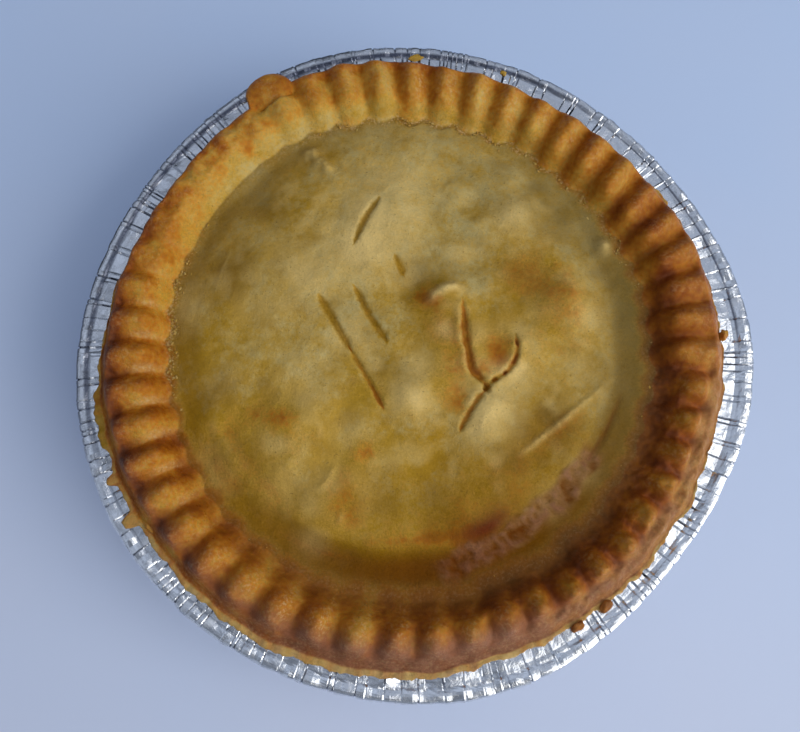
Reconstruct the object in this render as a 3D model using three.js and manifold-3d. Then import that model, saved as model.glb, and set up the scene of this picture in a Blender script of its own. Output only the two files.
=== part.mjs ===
// A round butter pie, baked and served in its pleated foil tin.
// Millimetres, +Z up. The origin is the centre of the tin's flat underside.

import * as THREE from 'three';
import { mergeVertices } from 'three/addons/utils/BufferGeometryUtils.js';
import Module from 'manifold-3d';

const wasm = await Module();
wasm.setup();

const FULL_TURN = 360;
const HALF_TURN = 180;
const DEGREE = Math.PI / HALF_TURN;

// ---------------------------------------------------------------- driving dimensions

const FOIL = 0.5;               // wall of the tin, its wrinkles included
const FIT_GAP = 0.3;            // clearance between the pastry and the foil
const BASE_RADIUS = 42.6;       // flat underside of the tin
const MOUTH_RADIUS = 54.6;      // inside of the tin, where the wall turns out into the flange
const FLANGE_TOP = 28;
const RIM_RADIUS = 62.6;        // outside of the rolled edge, before it was bent by hand
const BEAD_RADIUS = 1.2;
const BEAD_CENTRE_HEIGHT = 28.2;

const TROUGH_TOP = 28.8;        // pastry between the lid's dome and the crimped rim
const DOME = { x: -2.1, y: 0.6, radius: 39.2, rise: 4.1, edgeStep: 0.6, fullness: 2.3 };
const CRIMP_INNER_RADIUS = 45.2;
const CRIMP_OUTER_RADIUS = 56.6;
const CRIMP_HEIGHT = 5.1;       // crest over the trough
const GROOVE_SHARE = 0.5;       // height of a groove's floor as a share of the crest
const CRIMP_COUNT = 50;
const SKIRT_TOP = 29;           // flat edge of pastry outside the crimps
const SKIRT_BOTTOM = FLANGE_TOP + FIT_GAP;

// Out-of-round of the hand-bent rim and of the crimped ring: [waves per turn, height, azimuth of a crest x waves].
const RIM_WAVES = [[1, 0.44, 183], [2, 0.24, 157], [3, 0.6, -20], [4, 0.73, 29], [5, 0.25, -40], [6, 0.23, -41]];
const CRIMP_OUTER_WAVES = [[1, 0.7, 191], [2, 0.56, 177], [3, 0.87, -42], [4, 0.65, 45], [5, 0.3, 181]];
const CRIMP_INNER_WAVES = [[1, 1.2, 191], [2, 0.78, 223], [3, 0.28, 6]];

// Swellings and hollows of the lid: centre, reach and rise.
const LUMPS = [
  { x: 6, y: 7, reach: 4.5, rise: 0.9 },
  { x: 8, y: -6, reach: 4.5, rise: 0.5 },
  { x: 14, y: -14.5, reach: 5, rise: 0.9 },
  { x: 21, y: -3, reach: 5, rise: 0.7 },
  { x: 28, y: 9, reach: 6.5, rise: 0.9 },
  { x: 20, y: 25, reach: 6, rise: 0.6 },
  { x: -8, y: 25, reach: 4.5, rise: 0.5 },
  { x: -1, y: -10.5, reach: 5, rise: 0.7 },
  { x: -22, y: -19, reach: 7, rise: 0.5 },
  { x: -17, y: -31, reach: 5, rise: 0.5 },
  { x: 0, y: 10, reach: 4, rise: -0.5 },
  { x: 9, y: 22, reach: 6, rise: -0.4 },
];

// Knife slits, and the three arms of the forked vent that burst open between them.
const SLITS = [
  { path: [[-6.6, 27], [-9.3, 22.9], [-11.4, 18.8]], width: 0.7, depth: 0.9 },
  { path: [[-18, 8.7], [-12.1, -2.2], [-6.6, -12.6]], width: 0.7, depth: 0.9 },
  { path: [[-11.4, 10.8], [-8.1, 4.6], [-4.8, -1.3]], width: 0.6, depth: 0.8 },
  { path: [[-3.6, 16.2], [-1.7, 12.6]], width: 0.4, depth: 0.6 },
  { path: [[8.3, 8.9], [9, 4.8], [9.3, 0.2], [9.9, -4.9], [12.2, -10]], width: 1, depth: 1.8 },
  { path: [[11.8, -10.2], [14.3, -8.2], [17, -6.7], [18.7, -4.2], [18.8, -1]], width: 0.9, depth: 1.6 },
  { path: [[12.6, -9.8], [10.7, -13.4], [8, -17.3]], width: 1, depth: 1.6 },
];
const SLIT_STATIONS = 8;
const SLIT_CLEARANCE = 1;       // how far a cutting wedge stands above the lid

// The crimps crowd or spread a little round the ring, and were pressed flat over one stretch.
const CRIMP_LAG = -3.3;
const CRIMP_SPREAD = { azimuth: 268, reach: 38, angle: 3.1 };
const FLATTENED = { azimuth: 142, reach: 19, strength: 0.9, level: 0.8 };
const SKIRT = { reach: 0.5, extra: 1.4, azimuth: 262, spread: 70 };

// Knob of spare dough that was pinched on at the outer edge.
const KNOB = { azimuth: 118, distance: 57.8, height: 32.3, radial: 4.3, tangential: 4, vertical: 2.3 };

const TIN_SEGMENTS = 72;
const LID_SEGMENTS = 100;
const SAMPLES_PER_CRIMP = 5;
const CRIMP_SEGMENTS = CRIMP_COUNT * SAMPLES_PER_CRIMP;

// ---------------------------------------------------------------- shared helpers

function bump(distance, reach) {
  return Math.exp(-((distance / reach) ** 2));
}

// Smallest turn between two azimuths, in degrees.
function turnBetween(a, b) {
  return Math.abs(THREE.MathUtils.euclideanModulo(a - b + HALF_TURN, FULL_TURN) - HALF_TURN);
}

function sumOfWaves(waves, azimuth) {
  return waves.reduce((sum, [count, height, crest]) => sum + height * Math.cos((count * azimuth - crest) * DEGREE), 0);
}

function polarPoint(radius, azimuth, height, centre = { x: 0, y: 0 }) {
  const x = centre.x + radius * Math.cos(azimuth * DEGREE);
  const y = centre.y + radius * Math.sin(azimuth * DEGREE);
  return [x, y, height];
}

// Triangles between two neighbouring rings, which may have different numbers of points.
function stitch(first, second, faces) {
  const firstSteps = first.count > 1 ? first.count : 0;
  const secondSteps = second.count > 1 ? second.count : 0;
  let a = 0;
  let b = 0;
  while (a < firstSteps || b < secondSteps) {
    const here = first.start + (a % first.count);
    const there = second.start + (b % second.count);
    const stepFirst = b === secondSteps || (a < firstSteps && (a + 0.5) / firstSteps < (b + 0.5) / secondSteps);
    if (stepFirst) {
      a += 1;
      faces.push(here, there, first.start + (a % first.count));
    } else {
      b += 1;
      faces.push(here, there, second.start + (b % second.count));
    }
  }
}

// One closed solid from rings of points. Seen from before the first ring, each runs counter-clockwise.
function ringSolid(rings) {
  const positions = rings.flat(2);
  const faces = [];
  let start = 0;
  const spans = rings.map((ring) => {
    const span = { start, count: ring.length };
    start += ring.length;
    return span;
  });
  for (let r = 1; r < spans.length; r += 1) {
    stitch(spans[r - 1], spans[r], faces);
  }
  const head = spans[0];
  const tail = spans[spans.length - 1];
  for (let i = 2; i < head.count; i += 1) {
    faces.push(head.start, head.start + i - 1, head.start + i);
  }
  for (let i = 2; i < tail.count; i += 1) {
    faces.push(tail.start, tail.start + i, tail.start + i - 1);
  }
  const geometry = new THREE.BufferGeometry();
  geometry.setAttribute('position', new THREE.Float32BufferAttribute(positions, 3));
  geometry.setIndex(faces);
  return geometry;
}

function toManifold(geometry) {
  const bare = geometry.clone();
  bare.deleteAttribute('normal');
  bare.deleteAttribute('uv');
  const merged = mergeVertices(bare);
  const vertProperties = new Float32Array(merged.attributes.position.array);
  const triVerts = new Uint32Array(merged.index.array);
  return new wasm.Manifold(new wasm.Mesh({ numProp: 3, vertProperties, triVerts }));
}

function toGeometry(manifold) {
  const mesh = manifold.getMesh();
  const geometry = new THREE.BufferGeometry();
  geometry.setAttribute('position', new THREE.BufferAttribute(new Float32Array(mesh.vertProperties), 3));
  geometry.setIndex(new THREE.BufferAttribute(new Uint32Array(mesh.triVerts), 1));
  return geometry;
}

// ---------------------------------------------------------------- foil tin

// Radius of a point of the tin: outside the mouth it follows the bent rim.
function tinRadius(radius, azimuth) {
  const share = THREE.MathUtils.clamp((radius - MOUTH_RADIUS) / (RIM_RADIUS - MOUTH_RADIUS), 0, 1);
  return radius + share * sumOfWaves(RIM_WAVES, azimuth);
}

function tinRing(radius, height, segments = TIN_SEGMENTS) {
  return Array.from({ length: segments }, (_, i) => {
    const azimuth = (i * FULL_TURN) / segments;
    return polarPoint(tinRadius(radius, azimuth), azimuth, height);
  });
}

function foilTin() {
  const beadCentre = RIM_RADIUS - BEAD_RADIUS;
  const flangeOuter = beadCentre - BEAD_RADIUS;
  const wallFoot = { radius: BASE_RADIUS + 1.3, height: 1 };
  const inside = [
    [BASE_RADIUS - 0.2, FOIL],
    [wallFoot.radius - FOIL, wallFoot.height + 0.4],
    [MOUTH_RADIUS - FOIL, FLANGE_TOP - 1.6],
    [MOUTH_RADIUS + 0.9, FLANGE_TOP],
    [flangeOuter, FLANGE_TOP],
  ];
  const beadAngles = [130, 75, 20, -35, -90, -145];
  const bead = beadAngles.map((angle) => [
    beadCentre + BEAD_RADIUS * Math.cos(angle * DEGREE),
    BEAD_CENTRE_HEIGHT + BEAD_RADIUS * Math.sin(angle * DEGREE),
  ]);
  const outside = [
    [MOUTH_RADIUS + 0.7, FLANGE_TOP - FOIL],
    [MOUTH_RADIUS, FLANGE_TOP - 1.6],
    [wallFoot.radius, wallFoot.height],
    [BASE_RADIUS, 0],
  ];
  const capRadius = BASE_RADIUS - 4;
  const rings = [
    [[0, 0, FOIL]],
    ...[...inside, ...bead, ...outside].map(([radius, height]) => tinRing(radius, height)),
    tinRing(capRadius, 0, 3),
  ];
  return ringSolid(rings);
}

// ---------------------------------------------------------------- pie

// Azimuth of a place counted in crimps: whole numbers are crests, halves are grooves.
function crimpAzimuth(place) {
  const even = (place * FULL_TURN) / CRIMP_COUNT;
  return even + CRIMP_LAG + CRIMP_SPREAD.angle * bump(turnBetween(even, CRIMP_SPREAD.azimuth), CRIMP_SPREAD.reach);
}

// 1 on a crest and 0 in a groove, and nearly level where the crimps were pressed flat.
function crimpLevel(place, azimuth) {
  const crimped = Math.abs(Math.cos(Math.PI * place)) ** 0.7;
  const flat = FLATTENED.strength * bump(turnBetween(azimuth, FLATTENED.azimuth), FLATTENED.reach) ** 0.6;
  return THREE.MathUtils.lerp(crimped, FLATTENED.level, flat);
}

// Each crimp stands a little higher or lower than its neighbours.
function crimpUnevenness(place) {
  const crimp = Math.round(place);
  return 0.3 * Math.sin(crimp * 2.4) * Math.sin(crimp * 0.9 + 1);
}

function lidTop(x, y) {
  const reach = Math.min(Math.hypot(x - DOME.x, y - DOME.y) / DOME.radius, 1);
  const domed = DOME.edgeStep + (DOME.rise - DOME.edgeStep) * (1 - reach ** DOME.fullness);
  const lumps = LUMPS.reduce((sum, lump) => sum + lump.rise * bump(Math.hypot(x - lump.x, y - lump.y), lump.reach), 0);
  return TROUGH_TOP + domed + lumps;
}

function placesRound(segments) {
  return Array.from({ length: segments }, (_, i) => (i * CRIMP_COUNT) / segments + 0.5);
}

function lidRing(share, segments) {
  return placesRound(segments).map((place) => {
    const [x, y] = polarPoint(DOME.radius * share, crimpAzimuth(place), 0, DOME);
    return [x, y, lidTop(x, y)];
  });
}

// A point across the crimped ring: 0 at its inner foot, 1 at its outer edge.
function crimpPoint(place, across) {
  const azimuth = crimpAzimuth(place);
  const level = crimpLevel(place, azimuth);
  const inner = CRIMP_INNER_RADIUS + sumOfWaves(CRIMP_INNER_WAVES, azimuth) + 0.8 * (1 - level);
  const outer = CRIMP_OUTER_RADIUS + sumOfWaves(CRIMP_OUTER_WAVES, azimuth) - 0.7 * (1 - level);
  const crest = Math.sin(Math.PI * across ** 0.8) ** 0.35;
  const groove = GROOVE_SHARE * Math.sin(Math.PI * across ** 0.9) ** 0.8;
  const rise = (CRIMP_HEIGHT + crimpUnevenness(place)) * THREE.MathUtils.lerp(groove, crest, level);
  const footing = THREE.MathUtils.lerp(TROUGH_TOP, SKIRT_TOP, across);
  return polarPoint(THREE.MathUtils.lerp(inner, outer, across), azimuth, footing + rise);
}

function troughRing() {
  return placesRound(LID_SEGMENTS).map((place) => {
    const edge = polarPoint(DOME.radius, crimpAzimuth(place), 0, DOME);
    const foot = crimpPoint(place, 0);
    return [(edge[0] + foot[0]) / 2, (edge[1] + foot[1]) / 2, TROUGH_TOP - 0.1];
  });
}

function crimpRing(across) {
  return placesRound(CRIMP_SEGMENTS).map((place) => crimpPoint(place, across));
}

function skirtRing(height) {
  return placesRound(LID_SEGMENTS).map((place) => {
    const azimuth = crimpAzimuth(place);
    const reach = SKIRT.reach + SKIRT.extra * bump(turnBetween(azimuth, SKIRT.azimuth), SKIRT.spread);
    return polarPoint(CRIMP_OUTER_RADIUS + sumOfWaves(CRIMP_OUTER_WAVES, azimuth) + reach, azimuth, height);
  });
}

function bodyRing(radius, height) {
  return placesRound(LID_SEGMENTS).map((place) => polarPoint(radius, crimpAzimuth(place), height));
}

function pieBody() {
  const lidRings = [[0.18, 20], [0.36, 40], [0.54, 60], [0.7, 80], [0.84, 100], [0.94, 100], [1, 100]];
  const crimpShares = [0, 0.06, 0.2, 0.45, 0.72, 0.9, 1];
  const wallTop = MOUTH_RADIUS - FOIL - 2 * FIT_GAP;
  const rings = [
    [[DOME.x, DOME.y, lidTop(DOME.x, DOME.y)]],
    ...lidRings.map(([share, segments]) => lidRing(share, segments)),
    troughRing(),
    ...crimpShares.map(crimpRing),
    skirtRing(SKIRT_TOP),
    skirtRing(SKIRT_BOTTOM),
    bodyRing(MOUTH_RADIUS + 0.9, SKIRT_BOTTOM),
    bodyRing(wallTop, FLANGE_TOP - 1.4),
    bodyRing(BASE_RADIUS - 0.4, 2 * FIT_GAP + FOIL + 0.6),
    bodyRing(BASE_RADIUS - 1.4, FIT_GAP + FOIL),
    [[0, 0, FIT_GAP + FOIL]],
  ];
  return ringSolid(rings);
}

// A wedge along a path over the lid, sharp below and narrowing towards both ends.
function slitWedge({ path, width, depth }) {
  const curve = new THREE.CatmullRomCurve3(path.map(([x, y]) => new THREE.Vector3(x, y, 0)));
  const sections = Array.from({ length: SLIT_STATIONS + 1 }, (_, i) => {
    const share = i / SLIT_STATIONS;
    const { x, y } = curve.getPointAt(share);
    const along = curve.getTangentAt(share);
    const narrowing = Math.sqrt(Math.sin(Math.PI * THREE.MathUtils.clamp(share, 0.03, 0.97)));
    const top = lidTop(x, y) + SLIT_CLEARANCE;
    const half = ((width / 2) * narrowing * (depth + SLIT_CLEARANCE)) / depth;
    const left = [x - along.y * half, y + along.x * half, top];
    const right = [x + along.y * half, y - along.x * half, top];
    return [left, [x, y, lidTop(x, y) - depth * narrowing], right];
  });
  return ringSolid(sections);
}

function doughKnob() {
  const geometry = new THREE.SphereGeometry(1, 16, 10);
  geometry.rotateX(Math.PI / 2);
  geometry.scale(KNOB.radial, KNOB.tangential, KNOB.vertical);
  geometry.rotateZ(KNOB.azimuth * DEGREE);
  geometry.translate(...polarPoint(KNOB.distance, KNOB.azimuth, KNOB.height));
  return geometry;
}

function pie() {
  const whole = toManifold(pieBody()).add(toManifold(doughKnob()));
  const slit = SLITS.reduce((solid, cut) => solid.subtract(toManifold(slitWedge(cut))), whole);
  return toGeometry(slit);
}

// ---------------------------------------------------------------- the part

function piece(name, geometry, finish) {
  geometry.computeVertexNormals();
  const mesh = new THREE.Mesh(geometry, new THREE.MeshStandardMaterial(finish));
  mesh.name = name;
  return mesh;
}

const part = new THREE.Group();
part.add(piece('foil_tin', foilTin(), { color: 0xc6ccd4, roughness: 0.35, metalness: 1 }));
part.add(piece('pie', pie(), { color: 0xb8873f, roughness: 0.6, metalness: 0 }));

export default part;
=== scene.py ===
import math

import bpy
import numpy as np
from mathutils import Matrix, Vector, noise


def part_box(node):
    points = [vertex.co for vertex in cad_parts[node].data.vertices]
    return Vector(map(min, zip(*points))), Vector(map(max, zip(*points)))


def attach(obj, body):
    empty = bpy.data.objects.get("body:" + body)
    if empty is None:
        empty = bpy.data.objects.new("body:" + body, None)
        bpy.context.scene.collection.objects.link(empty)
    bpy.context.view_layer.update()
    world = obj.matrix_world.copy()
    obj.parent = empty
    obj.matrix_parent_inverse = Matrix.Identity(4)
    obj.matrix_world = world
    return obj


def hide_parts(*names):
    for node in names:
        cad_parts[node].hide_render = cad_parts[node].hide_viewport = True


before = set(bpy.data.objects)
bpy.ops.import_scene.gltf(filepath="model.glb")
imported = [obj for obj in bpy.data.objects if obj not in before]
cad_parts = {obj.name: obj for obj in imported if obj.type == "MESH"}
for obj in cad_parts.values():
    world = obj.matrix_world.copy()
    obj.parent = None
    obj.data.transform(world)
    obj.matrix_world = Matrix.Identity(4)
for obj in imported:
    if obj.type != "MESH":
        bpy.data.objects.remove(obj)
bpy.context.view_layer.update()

# The pastry and the foil as they look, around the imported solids. Lengths below are in design millimetres,
# and MM turns them into the frame's metres.

tin_low, tin_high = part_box("foil_tin")
TIN_HEIGHT = 29.4
MM = (tin_high.z - tin_low.z) / TIN_HEIGHT

# ---------------- driving dimensions

BEAD_RADIUS = 1.2
BEAD_CENTRE_HEIGHT = TIN_HEIGHT - BEAD_RADIUS
FLANGE_TOP = 28
FOIL = 0.5
BASE_RADIUS = 42.6
MOUTH_RADIUS = 54.6
RIM_RADIUS = 62.6
RIM_WAVES = [(1, 0.44, 183), (2, 0.24, 157), (3, 0.6, -20), (4, 0.73, 29), (5, 0.25, -40), (6, 0.23, -41)]

TROUGH_TOP = 28.8
DOME = (-2.1, 0.6)
DOME_RADIUS = 39.2
DOME_RISE = 4.1
DOME_EDGE_STEP = 0.6
DOME_FULLNESS = 2.3
CRIMP_COUNT = 50
CRIMP_INNER_RADIUS = 45.2
CRIMP_OUTER_RADIUS = 57.1
CRIMP_HEIGHT = 5.1
GROOVE_SHARE = 0.57
CRIMP_OUTER_WAVES = [(1, 0.7, 191), (2, 0.56, 177), (3, 0.87, -42), (4, 0.65, 45), (5, 0.3, 181)]
CRIMP_INNER_WAVES = [(1, 1.2, 191), (2, 0.78, 223), (3, 0.28, 6)]
CRIMP_LAG = -3.3
CRIMP_CROWDING = (268, 38, 3.1)    # azimuth, reach and turn in degrees
SKIRT_TOP = 29
FIT_GAP = 0.3

# Stretches of the rim: azimuth and reach, in degrees.
SMOOTH_STRETCH = (142, 20)
LOWER_SIDE = (280, 60)
LEFT_SIDE = (200, 60)
LEFT_END = (192, 28)
KNUCKLED_MIDDLE = 322
FRINGE_AZIMUTH = 194.5

# Swellings and hollows of the lid: x, y, reach and rise.
LUMPS = [
    (6, 7, 4.5, 1.4), (8, -6, 4.5, 0.8), (14, -14.5, 5, 1.6), (21, -3, 4, 1.2), (29, 7, 5.5, 1.4),
    (20, 24.5, 4.5, 1.5), (-6, 25, 6.5, 1.2), (-1, -10.5, 4.5, 1.4), (-22, -17, 6, 1.1),
    (-17, -30, 4.5, 0.8), (-0.5, 11, 3.6, -1.6), (9, 27, 6, -0.9),
]

# Slits and arms of the vent: path, width, depth, rise of the lip on its left and on its right, browning,
# damp look, and how much further the right wall leans out.
SLITS = [
    ([(-6.4, 27.4), (-9, 23.4), (-11.4, 17.8)], 1.2, 0.4, 0.05, 0, 0.2, 0.5, 1),
    ([(-17.7, 8), (-14.7, 2.8), (-11.4, -3)], 1.3, 0.5, 0, 0.05, 0.2, 0.5, 1),
    ([(-12, -2), (-9.3, -6.6), (-7.2, -10.5), (-5.4, -13.7)], 0.9, 0.5, 0.05, 0.1, 0.32, 0.4, 1),
    ([(-11.2, 9.8), (-8.8, 4.9), (-6.8, 1.5), (-4.8, -1.4)], 1.1, 0.5, 0, 0.05, 0.22, 0.5, 1),
    ([(-3.6, 16), (-1.9, 12.2)], 1, 0.3, 0.1, 0, 0.1, 0.45, 1),
    ([(12.6, -9.4), (11.4, -7.8), (10.2, -6.3), (9.7, -3), (9.2, 1.2), (8.9, 7)],
     1.35, 0.9, 0.5, 0, 0.3, 0.45, 1.1),
    ([(12.2, -10.4), (14.2, -8.4), (16.5, -6.9), (18.1, -4.7), (18.6, -2), (18.4, 0.3)],
     0.8, 0.3, 0.3, 0.5, 0.16, 0.1, 1),
    ([(12.1, -10.4), (13.3, -9.4)], 1.6, 1, 0.1, 0.1, 0.4, 0.7, 1),
    ([(13.8, -8.8), (14.8, -8)], 0.9, 0.45, 0.1, 0.2, 0.3, 0.5, 1),
    ([(16, -7.3), (16.6, -6.8)], 0.7, 0.35, 0.1, 0.2, 0.3, 0.4, 1),
    ([(17.6, -5.4), (18.5, -3.4)], 0.9, 0.25, 0.2, 0.2, 0.2, 0.1, 1.2),
    ([(18.6, -2.2), (18.4, -1)], 0.7, 0.3, 0.1, 0.2, 0.25, 0.35, 1),
    ([(7.9, -17.6), (8.8, -15.7), (10.8, -12.5), (12.2, -10.6)], 0.9, 0.5, 0.2, 0.2, 0.34, 0.2, 1),
]

rng = np.random.default_rng(11)


# ---------------- shape helpers

def bump(distance, reach):
    return np.exp(-(distance / reach) ** 2)


def smoothstep(low, high, value):
    share = np.clip((value - low) / (high - low), 0, 1)
    return share * share * (3 - 2 * share)


def lerp(low, high, share):
    return low + (high - low) * share


def turn_between(a, b):
    """Smallest turn between azimuths, in degrees."""
    return np.abs((a - b + 180) % 360 - 180)


def near(azimuth, middle, reach):
    """1 at the middle azimuth, falling off to both sides."""
    return bump(turn_between(azimuth, middle), reach)


def sum_of_waves(waves, azimuth):
    return sum(height * np.cos(np.radians(count * azimuth - crest)) for count, height, crest in waves)


def noise_at(points, size, seed):
    """Smooth noise from about -1 to 1 at each point, with features of about the given size."""
    shift = Vector((seed * 7.31, seed * 3.17, seed * 5.53))
    return np.array([noise.noise(Vector(point) / size + shift) for point in points])


def noise_sum(points, *layers):
    """Several noises on top of each other, each given by its height, size and seed."""
    return sum(height * noise_at(points, size, seed) for height, size, seed in layers)


def polar(radius, azimuth, centre=(0, 0)):
    angle = np.radians(azimuth)
    return centre[0] + radius * np.cos(angle), centre[1] + radius * np.sin(angle)


def stitch(first, first_count, second, second_count):
    """Faces between two neighbouring rings; rings of one size give quads."""
    if first_count == second_count:
        here = np.arange(first_count)
        after = (here + 1) % first_count
        return np.stack([first + here, second + here, second + after, first + after], axis=1).tolist()
    steps_a = first_count if first_count > 1 else 0
    steps_b = second_count if second_count > 1 else 0
    faces = []
    a = b = 0
    while a < steps_a or b < steps_b:
        here, there = first + a % first_count, second + b % second_count
        if b == steps_b or (a < steps_a and (a + 0.5) / steps_a < (b + 0.5) / steps_b):
            a += 1
            faces.append((here, there, first + a % first_count))
        else:
            b += 1
            faces.append((here, there, second + b % second_count))
    return faces


def ring_mesh(name, rings, attributes):
    """A closed mesh from rings that run from the middle of the top to the middle of the underside. Each row
    of a ring has x, y and z in millimetres and then the attributes."""
    table = np.concatenate(rings)
    faces = []
    start = 0
    for ring, following in zip(rings, rings[1:]):
        faces += stitch(start, len(ring), start + len(ring), len(following))
        start += len(ring)
    return mesh_from(name, table, faces, attributes)


def mesh_from(name, table, faces, attributes):
    mesh = bpy.data.meshes.new(name)
    mesh.from_pydata((table[:, :3] * MM).tolist(), [], faces)
    for values, attribute_name in zip(table[:, 3:].T, attributes):
        attribute = mesh.attributes.new(attribute_name, "FLOAT", "POINT")
        attribute.data.foreach_set("value", np.ascontiguousarray(values, dtype=np.float32))
    mesh.shade_smooth()
    return mesh


def show(name, mesh, material, replaced=()):
    piece = bpy.data.objects.new(name, mesh)
    bpy.context.scene.collection.objects.link(piece)
    mesh.materials.append(material)
    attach(piece, "root")
    if replaced:
        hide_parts(*replaced)


# ---------------- node helpers

class Graph:
    """Short calls for building the nodes that lead to a material's shader or the world's background."""

    def __init__(self, tree, target):
        self.tree = tree
        self.target = tree.nodes[target]

    def node(self, kind, inputs=(), **settings):
        made = self.tree.nodes.new("ShaderNode" + kind)
        for key, value in settings.items():
            setattr(made, key, value)
        for key, value in dict(inputs).items():
            self.feed(made.inputs[key], value)
        return made

    def feed(self, socket, value):
        if isinstance(value, bpy.types.NodeSocket):
            self.tree.links.new(value, socket)
        else:
            socket.default_value = value

    def finish(self, key, value):
        self.feed(self.target.inputs[key], value)

    def noise(self, size, detail=2, roughness=0.5, distortion=0):
        where = self.node("TexCoord").outputs["Object"]
        inputs = {"Vector": where, "Scale": 1 / (size * MM), "Detail": detail,
                  "Roughness": roughness, "Distortion": distortion}
        return self.node("TexNoise", inputs).outputs["Fac"]

    def attribute(self, name):
        return self.node("Attribute", attribute_name=name).outputs["Fac"]

    def math(self, operation, a, b, clamp=False):
        return self.node("Math", {0: a, 1: b}, operation=operation, use_clamp=clamp).outputs[0]

    def remap(self, value, low, high, to_low=0, to_high=1):
        inputs = {"Value": value, "From Min": low, "From Max": high, "To Min": to_low, "To Max": to_high}
        return self.node("MapRange", inputs).outputs[0]

    def ramp(self, value, stops):
        made = self.node("ValToRGB", {"Fac": value})
        elements = made.color_ramp.elements
        while len(elements) < len(stops):
            elements.new(1)
        for element, (position, colour) in zip(elements, stops):
            element.position = position
            element.color = (*colour, 1)
        return made.outputs["Color"]

    def mix(self, share, a, b, blend="MIX"):
        made = self.node("Mix", {0: share}, data_type="RGBA", blend_type=blend)
        for socket, colour in zip(made.inputs[6:8], (a, b)):
            self.feed(socket, (*colour, 1) if isinstance(colour, tuple) else colour)
        return made.outputs[2]

    def bump(self, height, distance, strength, below=None):
        inputs = {"Height": height, "Distance": distance * MM, "Strength": strength}
        if below is not None:
            inputs["Normal"] = below
        return self.node("Bump", inputs).outputs["Normal"]


# ---------------- materials

def new_material(name):
    material = bpy.data.materials.new(name)
    material.use_nodes = True
    return material, Graph(material.node_tree, "Principled BSDF")


# What each point of the pastry carries besides its place. Grease below 0 means dry crust. Besides paler
# dough, duller crust and flour, three of the columns also carry painted highlights, a painted sheen and
# painted glints.
PASTRY_COLUMNS = ("brown", "ochre", "damp", "toast", "pale", "dull_and_sheen", "grease", "flour_and_glints")
BAKING_STOPS = [
    (0, (0.56, 0.43, 0.16)),
    (0.2, (0.60, 0.38, 0.08)),
    (0.36, (0.60, 0.29, 0.035)),
    (0.5, (0.50, 0.18, 0.010)),
    (0.66, (0.36, 0.095, 0.003)),
    (0.82, (0.21, 0.042, 0.002)),
    (1, (0.08, 0.014, 0.002)),
]
OCHRE = (0.47, 0.26, 0.01)
DAMP_GREY = (0.20, 0.135, 0.036)
DAMP_AMBER = (0.17, 0.07, 0.002)
TOAST = (0.13, 0.018, 0.003)
# Pale cream: paler dough, and painted highlights on the lid's lit bumps, lips and ridges and on lit crimp
# flanks.
PALE_AND_HIGHLIGHT = (0.79, 0.56, 0.20)
# Greyish purple-brown: duller crust, and a painted sheen of the sky on the lower crust, its outer parts and
# the torn strip.
DULL_AND_SHEEN = (0.29, 0.125, 0.066)
SPECK = (0.14, 0.07, 0.015)
# Pale flecks: real flour and crumbs at the crimps' feet, and painted glints on the crests and on the flanks
# that face the lamp.
FLOUR_AND_GLINT = (0.64, 0.43, 0.20)
EVEN_GLOSS = 0.22    # for a model that is kept without the gloss that varies from place to place
FOIL_DULL = (0.80, 0.82, 0.85)
FOIL_BRIGHT = (0.90, 0.91, 0.93)
# Painted shade: the dark the foil is painted with in its fold lines, at kinks, along its rolled edge and in
# the gap inside it.
FOIL_CREASE_SHADE = (0.12, 0.13, 0.17)
FLOOR_FRONT = (0.61, 0.67, 0.83)
FLOOR_BACK = (0.53, 0.66, 0.90)


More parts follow.
